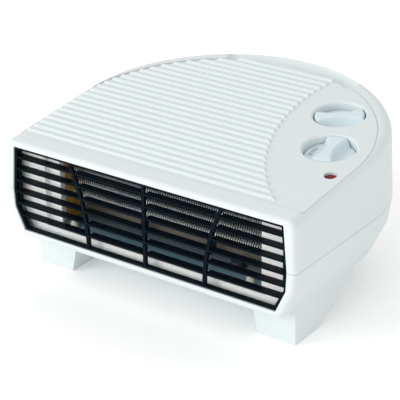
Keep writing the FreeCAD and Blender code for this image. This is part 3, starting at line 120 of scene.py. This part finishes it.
@dataclass(frozen=True)
class Finish:
    """One material: what it is, and how its surface was made.

    The grain size and the depth of the relief are lengths in millimetres. Where there is a second colour,
    the grain blends it with the first. A tint from front to back, heat tint on the tray and painted shade
    behind the heating wire's curls, starts at a place along Y and ends one grain size further back.
    """

    title: str
    colour: str
    roughness: float
    ior: float = 1.5
    metallic: float = 0.0
    grain: Grain = Grain.SMOOTH
    grain_mm: float = 1.0
    relief_mm: float = 0.0
    start_mm: float = 0.0
    second: str = ""
    transmission: float = 0.0
    emission: float = 0.0

    def pattern(self, tree: bpy.types.NodeTree) -> bpy.types.NodeSocket:
        """Add the grain as a grey value.

        Args:
            tree: Node tree of the material.

        Returns:
            Socket with a value from 0 to 1.
        """
        place = add_node(tree, "ShaderNodeTexCoord").outputs["Object"]
        scale = 1 / (self.grain_mm * MM)
        if self.grain in (Grain.STACK, Grain.WOUND):
            wave = {"wave_type": "BANDS", "bands_direction": "Z" if self.grain is Grain.STACK else "X",
                    "Distortion": 0.0, "Scale": scale * WAVE_LENGTH}
            return add_node(tree, "ShaderNodeTexWave", wave, {"Vector": place}).outputs["Fac"]
        if self.grain is Grain.HEAT_TINT_AND_SHADE:
            depth = add_node(tree, "ShaderNodeSeparateXYZ", None, {"Vector": place}).outputs["Y"]
            ends = {"From Min": self.start_mm * MM, "From Max": (self.start_mm + self.grain_mm) * MM}
            return add_node(tree, "ShaderNodeMapRange", ends, {"Value": depth}).outputs["Result"]
        if self.grain is Grain.FLAKE:
            return add_node(tree, "ShaderNodeTexVoronoi", {"Scale": scale},
                            {"Vector": place}).outputs["Distance"]
        if self.grain is Grain.DRAWN:
            place = add_node(tree, "ShaderNodeMapping", {"Scale": DRAWN_STRETCH},
                             {"Vector": place}).outputs["Vector"]
        return add_node(tree, "ShaderNodeTexNoise", {"Scale": scale, "Detail": NOISE_DETAIL},
                        {"Vector": place}).outputs["Fac"]

    def build(self) -> bpy.types.Material:
        """Make the Blender material.

        Returns:
            The material, with its nodes linked.
        """
        material = bpy.data.materials.new(self.title)
        material.use_nodes = True
        tree = material.node_tree
        tree.nodes.clear()
        shader = add_node(tree, "ShaderNodeBsdfPrincipled", {
            "Base Color": linear(self.colour), "Roughness": self.roughness,
            "Metallic": self.metallic, "IOR": self.ior,
            "Transmission Weight": self.transmission})
        if self.emission:
            shader.inputs["Emission Color"].default_value = linear(self.colour)
            shader.inputs["Emission Strength"].default_value = self.emission
        if self.grain is not Grain.SMOOTH:
            value = self.pattern(tree)
            if self.relief_mm:
                bump = add_node(tree, "ShaderNodeBump",
                                {"Strength": 1.0, "Distance": self.relief_mm * MM},
                                {"Height": value})
                tree.links.new(bump.outputs["Normal"], shader.inputs["Normal"])
            if self.second:
                blend = add_node(tree, "ShaderNodeMix", {"data_type": "RGBA"}, {0: value})
                colours = [socket for socket in blend.inputs if socket.type == "RGBA"]
                colours[0].default_value = linear(self.colour)
                colours[1].default_value = linear(self.second)
                output = next(socket for socket in blend.outputs if socket.type == "RGBA")
                tree.links.new(output, shader.inputs["Base Color"])
        add_node(tree, "ShaderNodeOutputMaterial", None, {"Surface": shader.outputs["BSDF"]})
        return material


# One finish for each material slot of the record. The grain of a mould and of drawn metal is really under
# 0.1 mm wide, too fine to show, and is drawn coarser.
FINISHES: dict[str, Finish] = {
    # Spark texture from the mould: soft highlights and no sharp reflections
    "housing": Finish("moulded ABS, off-white", "#D6DEDE", 0.5, grain=Grain.SPARK, grain_mm=0.5,
                      relief_mm=0.008),
    # Black with a weak teal sheen on the upper faces of the slats, which the low index keeps down
    "grille": Finish("moulded PBT, black", "#07131B", 0.4, ior=1.12, grain=Grain.SPARK, grain_mm=0.4,
                     relief_mm=0.006),
    # Polished mould: tighter highlights than on the housing, and a cooler white
    "knob": Finish("polished ABS, off-white", "#D1E0E4", 0.35, grain=Grain.SPARK, grain_mm=0.4,
                   relief_mm=0.002),
    # Filled resin: dull, faintly mottled brown
    "control_case": Finish("phenolic moulding, brown", "#4A3527", 0.5, grain=Grain.SPARK, grain_mm=1.5,
                           relief_mm=0.005, second="#3A291E"),
    # Tool marks blur the metal's highlight
    "spindle": Finish("turned steel", "#B9BABC", 0.3, metallic=1.0, grain=Grain.DRAWN,
                      grain_mm=0.3, relief_mm=0.004),
    # Deep, even red with a small soft gleam
    "lens": Finish("red polycarbonate", "#7A001A", 0.2, ior=1.2),
    # Clear, faintly warm glass that shows what lies behind it
    "lamp": Finish("lamp glass", "#F2D9C6", 0.05, transmission=0.8),
    # Rough and matt: the brightest white behind the slats
    "duct": Finish("glass-filled PBT, white", "#FBFEFC", 0.55, grain=Grain.SPARK, grain_mm=0.8,
                   relief_mm=0.01),
    # Dull dark grey, hardly seen behind the intake slots
    "fan_wheel": Finish("moulded nylon, dark grey", "#2B2D30", 0.5, grain=Grain.SPARK, grain_mm=0.6,
                        relief_mm=0.008),
    # Edges of thin sheets: fine level lines
    "laminations": Finish("stacked electrical steel", "#77787A", 0.45, metallic=1.0,
                          grain=Grain.STACK, grain_mm=0.7, relief_mm=0.05),
    # Rows of round wire that catch the light as narrow copper bands
    "winding": Finish("enamelled copper wire", "#A4562B", 0.35, metallic=1.0, grain=Grain.WOUND,
                      grain_mm=0.6, relief_mm=0.12),
    # Rolled sheet with a thin plating: a blurred metal gleam
    "bracket": Finish("zinc-plated steel", "#C2C4C4", 0.35, metallic=1.0, grain=Grain.DRAWN,
                      grain_mm=0.4, relief_mm=0.004),
    # Pressed powder: dull brown metal with fine pits
    "bush": Finish("sintered bronze", "#A5793F", 0.5, metallic=1.0, grain=Grain.SPARK,
                   grain_mm=0.3, relief_mm=0.01),
    # Bright plating with a small blurred highlight
    "screw": Finish("zinc-plated screw", "#B4B6B7", 0.32, metallic=1.0, grain=Grain.DRAWN, grain_mm=0.3,
                    relief_mm=0.003),
    # Flakes pressed into a sheet: patches of pale and darker gold
    "mica": Finish("pressed mica sheet", "#DBAE48", 0.35, grain=Grain.FLAKE, grain_mm=3.0,
                   relief_mm=0.02, second="#A07C32"),
    # Pressed flakes coloured nearly black as painted shade, so that the supports pass for the dark behind
    # the coils; only a little uneven
    "support": Finish("dark mica sheet", "#2A2622", 0.5, grain=Grain.FLAKE, grain_mm=3.0,
                      relief_mm=0.02),
    # Curls bright in front and dark behind: the dark back of each curl is painted shade between the wires
    "heating_wire": Finish("resistance wire", "#DEE4E5", 0.35, metallic=1.0, grain=Grain.HEAT_TINT_AND_SHADE,
                           start_mm=-77.0, grain_mm=3.0, second="#211E1C"),
    # Slate coating that the heat has turned brown towards the back
    "tray": Finish("slate-coated sheet steel", "#8FBFD2", 0.45, grain=Grain.HEAT_TINT_AND_SHADE, start_mm=-93.0,
                   grain_mm=30.0, second="#7A746E"),
    # Glaze: a bright, slightly wavy highlight on cream
    "ceramic": Finish("glazed steatite", "#F0EDE2", 0.2, grain=Grain.SPARK, grain_mm=1.5,
                      relief_mm=0.01),
    # Grey metal that the heat has left without a clear reflection
    "cutout": Finish("heat-dulled aluminium can", "#5E6163", 0.5, metallic=1.0, grain=Grain.DRAWN,
                     grain_mm=0.4, relief_mm=0.005),
    # Soft sheen, a little warmer than the housing
    "inlet": Finish("moulded nylon, off-white", "#DADCD8", 0.45, grain=Grain.SPARK, grain_mm=0.5,
                    relief_mm=0.008),
    # Matt cream
    "block": Finish("moulded polyamide, pale", "#E4E2D3", 0.5, grain=Grain.SPARK, grain_mm=0.5,
                    relief_mm=0.008),
}

# Thin matt ink: plain strokes a little darker than the knob
PAD_PRINT = Finish("pad print, slate grey", "#7B8C8F", 0.5)
# Matt white that glows faintly, so that only the shadow stands out
STUDIO_FLOOR = Finish("pale studio floor", "#FFFFFF", 0.9, emission=0.1)


@dataclass
class Solids:
    """Every CAD node with the finish of its material slot."""

    materials: dict[str, bpy.types.Material] = field(default_factory=dict)

    def dress(self) -> None:
        """Build the finishes and give each node the one of its slot."""
        self.materials = {slot: finish.build() for slot, finish in FINISHES.items()}
        for row in frame["record"]["subparts"]:
            node = frame["nodes"][row["node"]]
            node.data.materials.clear()
            node.data.materials.append(self.materials[row["material_slot"]])
            LOG.info("dressed %s", row["node"])


def grid_faces(rows: int, columns: int) -> np.ndarray:
    """Quads between neighbours on a grid that is closed round its columns.

    Args:
        rows: Points along the path.
        columns: Points round the section.

    Returns:
        Array of four point numbers for each face, wound so that it points outwards.
    """
    row, column = np.meshgrid(np.arange(rows - 1), np.arange(columns), indexing="ij")
    after = (column + 1) % columns
    quads = np.stack([row * columns + column, row * columns + after,
                      (row + 1) * columns + after, (row + 1) * columns + column], axis=-1)
    return quads.reshape(-1, 4)


def new_mesh(name: str, points: np.ndarray, faces: Sequence[Sequence[int]],
             smooth: bool = True) -> bpy.types.Object:
    """Put points and faces into an object at the origin.

    Args:
        name: Name of the piece.
        points: Array of points in metres.
        faces: Point numbers, one row for each face.
        smooth: Whether the faces are shaded smooth.

    Returns:
        The new object, linked to the scene.
    """
    mesh = bpy.data.meshes.new(name)
    mesh.from_pydata(points.reshape(-1, 3).tolist(), [], faces)
    mesh.polygons.foreach_set("use_smooth", np.full(len(faces), smooth))
    mesh.update()
    piece = bpy.data.objects.new(name, mesh)
    bpy.context.scene.collection.objects.link(piece)
    return piece


def tube(path: np.ndarray, radius: float, sides: int) -> tuple[np.ndarray, np.ndarray]:
    """Carry a circle along a path.

    Each section stands square to the path: one axis is the path's direction crossed with X, the other
    is square to both.

    Args:
        path: Points along the middle, in metres.
        radius: Radius of the tube in metres.
        sides: Points round each section.

    Returns:
        Points and faces of the tube.
    """
    heading = np.gradient(path, axis=0)
    heading /= np.linalg.norm(heading, axis=1, keepdims=True)
    aside = np.cross(heading, X_AXIS)
    aside /= np.linalg.norm(aside, axis=1, keepdims=True)
    above = np.cross(aside, heading)
    angle = np.linspace(0, 2 * math.pi, sides, endpoint=False)
    circle = (aside[:, None] * np.cos(angle)[None, :, None]
              + above[:, None] * np.sin(angle)[None, :, None])
    return path[:, None] + circle * radius, grid_faces(len(path), sides)


@dataclass
class HeatingElement:
    """Rows of finely curled resistance wire in place of the plain coils."""

    rows: int = 4
    curls: int = 92
    wire: float = 0.8 * MM
    steps: int = 14
    sides: int = 6

    def build(self, material: bpy.types.Material) -> None:
        """Make each row inside the room of its plain coil.

        The wire's middle is a helix: X runs evenly from end to end, while Y and Z go round a circle,
        once for each curl, which is as high as the plain coil less the wire.

        Args:
            material: Finish of the wire.
        """
        for row in range(1, self.rows + 1):
            node = f"heating_coil_{row}"
            low, high = (np.array(corner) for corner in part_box(node))
            middle = (low + high) / 2
            radius = (high[2] - low[2]) / 2 - self.wire / 2
            turn = np.linspace(0, 1, self.curls * self.steps)
            angle = turn * self.curls * 2 * math.pi
            path = np.stack([low[0] + (high[0] - low[0]) * turn,
                             middle[1] + radius * np.cos(angle),
                             middle[2] + radius * np.sin(angle)], axis=1)
            points, faces = tube(path, self.wire / 2, self.sides)
            piece = new_mesh(f"fine_wire_{row}", points, faces.tolist())
            piece.data.materials.append(material)
            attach(piece, "housing")
            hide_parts(node)
            LOG.info("built %s", piece.name)


@dataclass
class KnobGrip:
    """A knob with a bow-tie ridge between two steep hollows, in place of the plainer solid.

    Heights are measured along the knob's axis from its joint, which lies on the panel.
    """

    body: str
    ridge_degrees: float
    radius: float = 18.7 * MM
    crown: float = -0.2 * MM
    foot: float = -7.7 * MM
    edge: float = 2.0 * MM
    bore: float = 3.0 * MM
    bore_top: float = -1.7 * MM
    waist: float = 2.6 * MM
    flare: float = 5.0 * MM
    wall: float = 4.6 * MM
    depth: float = 6.2 * MM
    rings: int = 60
    edge_rings: int = 8
    sectors: int = 144
    crease_degrees: float = 50.0

    def height(self, along: np.ndarray, across: np.ndarray) -> np.ndarray:
        """Height of the top over the plan.

        The ridge's half width is the waist plus the flare times the square of the way along it. Beyond
        it a smooth step as wide as the wall leads down to the floor of the hollow. The rim is rounded
        by a quarter circle.

        Args:
            along: Distance along the ridge, in metres.
            across: Distance from the ridge's middle line, in metres.

        Returns:
            Height for each point, in metres.
        """
        half = self.waist + self.flare * (along / self.radius) ** 2
        step = np.clip((np.abs(across) - half) / self.wall, 0, 1)
        hollow = self.crown - self.depth * step * step * (3 - 2 * step)
        over = np.clip(np.hypot(across, along) - (self.radius - self.edge), 0, self.edge)
        rim = self.crown - self.edge + np.sqrt(self.edge ** 2 - over ** 2)
        return np.minimum(hollow, rim)

    def place(self, along: np.ndarray, across: np.ndarray, level: np.ndarray) -> np.ndarray:
        """Turn distances on the knob into points of the frame.

        The knob's plane is spanned by X and by the axis crossed with X. The ridge lies in it at its
        angle from X.

        Args:
            along: Distance along the ridge, in metres.
            across: Distance from the ridge's middle line, in metres.
            level: Height along the axis, in metres.

        Returns:
            Array of points with the knob at rest, in metres.
        """
        joint = next(row for row in frame["record"]["behaviour"]["joints"] if row["child"] == self.body)
        axis = np.array(joint["axis"])
        back = np.cross(axis, X_AXIS)
        turn = math.radians(self.ridge_degrees)
        ahead = math.cos(turn) * X_AXIS + math.sin(turn) * back
        aside = math.cos(turn) * back - math.sin(turn) * X_AXIS
        return (np.array(joint["pos_m"]) + along[..., None] * ahead + across[..., None] * aside
                + level[..., None] * axis)

    def build(self, material: bpy.types.Material) -> None:
        """Make the knob from rings: over the top, down the side, under and up the bore.

        Args:
            material: Finish of the knob.
        """
        # The rings run clockwise, so that the faces point outwards
        angle = -np.linspace(0, 2 * math.pi, self.sectors, endpoint=False)
        flat = self.radius - self.edge
        inner = np.linspace(0, flat, self.rings + 1)[1:]
        rim = flat + self.edge * np.sin(np.linspace(0, math.pi / 2, self.edge_rings + 1)[1:])
        reach = np.concatenate([inner, rim, [self.radius, self.bore, self.bore]])
        along = reach[:, None] * np.cos(angle)
        across = reach[:, None] * np.sin(angle)
        level = self.height(along, across)
        # The last three rings lie at the foot of the side, round the bore's mouth and at its end
        level[-3:-1] = self.foot
        level[-1] = self.bore_top
        # The middle of the top and the end of the bore are one face each
        last = (len(reach) - 1) * self.sectors
        caps = [list(range(self.sectors))[::-1], list(range(last, last + self.sectors))]
        faces = grid_faces(len(reach), self.sectors).tolist() + caps
        piece = new_mesh(f"{self.body}_grip", self.place(along, across, level), faces)
        piece.data.set_sharp_from_angle(angle=math.radians(self.crease_degrees))
        piece.data.materials.append(material)
        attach(piece, self.body)
        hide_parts(f"{self.body}_knob")
        LOG.info("built %s", piece.name)


@dataclass
class DialMarks:
    """Plain strokes printed on the switch knob, with angles from the right."""

    first_degrees: float = 163.0
    step_degrees: float = 10.0
    count: int = 5
    inner: float = 12.6 * MM
    outer: float = 15.8 * MM
    width: float = 1.0 * MM
    lift: float = 0.06 * MM
    steps: int = 8

    def build(self, knob: KnobGrip) -> None:
        """Lay each stroke on the knob's hollow, as seen along the knob's axis.

        A stroke is a strip of two columns, half its width to either side of a spoke, with rows from the
        inner to the outer radius. Its height is the knob's, and a little lift.

        Args:
            knob: The knob that carries the strokes.
        """
        turn = self.first_degrees + self.step_degrees * np.arange(self.count) - knob.ridge_degrees
        angle = np.radians(turn)[:, None, None]
        radius = np.linspace(self.inner, self.outer, self.steps)[:, None]
        side = np.array([-self.width / 2, self.width / 2])
        along = radius * np.cos(angle) - side * np.sin(angle)
        across = radius * np.sin(angle) + side * np.cos(angle)
        points = knob.place(along, across, knob.height(along, across) + self.lift)
        row = np.arange(self.steps - 1)
        quads = np.stack([2 * row, 2 * row + 2, 2 * row + 3, 2 * row + 1], axis=-1)
        faces = (quads[None] + 2 * self.steps * np.arange(self.count)[:, None, None]).reshape(-1, 4)
        piece = new_mesh("switch_marks", points, faces.tolist(), smooth=False)
        piece.data.materials.append(PAD_PRINT.build())
        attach(piece, "switch")
        LOG.info("built %s", piece.name)


@dataclass(frozen=True)
class Lamp:
    """A soft square lamp: its place and the length of its side in metres, and its power in watts."""

    name: str
    place: tuple[float, float, float]
    side: float
    power: float

    def hang(self, aim: tuple[float, float, float]) -> None:
        """Hang the lamp so that it faces a point.

        Args:
            aim: The point, in metres.
        """
        data = bpy.data.lights.new(self.name, "AREA")
        data.size = self.side
        data.energy = self.power
        lamp = bpy.data.objects.new(self.name, data)
        lamp.location = self.place
        heading = Vector(aim) - Vector(self.place)
        lamp.rotation_euler = heading.to_track_quat("-Z", "Y").to_euler()
        bpy.context.scene.collection.objects.link(lamp)


@dataclass
class Studio:
    """Pale floor, soft lamps and the camera of the photograph, in metres and degrees.

    The left lamp is the main light. The low one in front brings out the ribs.
    """

    azimuth: float = 35.997
    elevation: float = 25.262
    roll: float = -0.83
    place: tuple[float, float, float] = (0.672805, -0.965794, 0.603329)
    lens_mm: float = 152.6
    sensor_mm: float = 36.0
    clip_end: float = 100.0
    floor_half: float = 6.0
    world_colour: str = "#FFFFFF"
    world_strength: float = 0.88
    seen_strength: float = 1.0
    aim: tuple[float, float, float] = (0.0, 0.0, 0.06)
    lamps: tuple[Lamp, ...] = (Lamp("left_lamp", (-1.5, -2.2, 1.05), 1.2, 26.5),
                               Lamp("front_lamp", (0.05, -1.2, 0.48), 0.8, 1.5))

    def camera(self) -> None:
        """Stand the camera where the photograph was taken from."""
        turn = math.radians(self.azimuth)
        lift = math.radians(self.elevation)
        roll = math.radians(self.roll)
        behind = Vector((math.sin(turn) * math.cos(lift), -math.cos(turn) * math.cos(lift),
                         math.sin(lift)))
        level = Vector((math.cos(turn), math.sin(turn), 0.0))
        upright = behind.cross(level)
        right = level * math.cos(roll) + upright * math.sin(roll)
        up = upright * math.cos(roll) - level * math.sin(roll)
        data = bpy.data.cameras.new("camera")
        data.lens = self.lens_mm
        data.sensor_width = self.sensor_mm
        data.clip_end = self.clip_end
        camera = bpy.data.objects.new("camera", data)
        camera.matrix_world = Matrix((
            (right.x, up.x, behind.x, self.place[0]), (right.y, up.y, behind.y, self.place[1]),
            (right.z, up.z, behind.z, self.place[2]), (0.0, 0.0, 0.0, 1.0)))
        bpy.context.scene.collection.objects.link(camera)
        bpy.context.scene.camera = camera

    def floor(self) -> None:
        """Lay a wide pale floor that catches the shadow."""
        half = self.floor_half
        corners = np.array([[-half, -half, 0], [half, -half, 0], [half, half, 0], [-half, half, 0]])
        floor = new_mesh("floor", corners, [[0, 1, 2, 3]], smooth=False)
        floor.data.materials.append(STUDIO_FLOOR.build())

    def world(self) -> None:
        """Light evenly from all sides, with a brighter white for the camera and reflections."""
        world = bpy.data.worlds.new("studio")
        bpy.context.scene.world = world
        world.use_nodes = True
        tree = world.node_tree
        tree.nodes.clear()
        ray = add_node(tree, "ShaderNodeLightPath")
        seen = ray.outputs["Is Camera Ray"]
        for name in ("Is Glossy Ray", "Is Transmission Ray"):
            seen = add_node(tree, "ShaderNodeMath", {"operation": "MAXIMUM"},
                            {0: seen, 1: ray.outputs[name]}).outputs[0]
        colour = linear(self.world_colour)
        fill, white = (add_node(tree, "ShaderNodeBackground", {"Color": colour, "Strength": strength})
                       for strength in (self.world_strength, self.seen_strength))
        mix = add_node(tree, "ShaderNodeMixShader", None,
                       {0: seen, 1: fill.outputs[0], 2: white.outputs[0]})
        add_node(tree, "ShaderNodeOutputWorld", None, {"Surface": mix.outputs[0]})

    def build(self) -> None:
        """Set up the whole studio."""
        bpy.context.scene.view_settings.view_transform = "Standard"
        self.camera()
        self.floor()
        self.world()
        for lamp in self.lamps:
            lamp.hang(self.aim)


def main() -> None:
    """Dress the heater and set up the studio."""
    logging.basicConfig(level=logging.INFO)
    solids = Solids()
    solids.dress()
    HeatingElement().build(solids.materials["heating_wire"])
    knobs = {body: KnobGrip(body, degrees) for body, degrees in RIDGE_DEGREES.items()}
    for knob in knobs.values():
        knob.build(solids.materials["knob"])
    DialMarks().build(knobs["switch"])
    Studio().build()


if __name__ == "__main__":
    main()
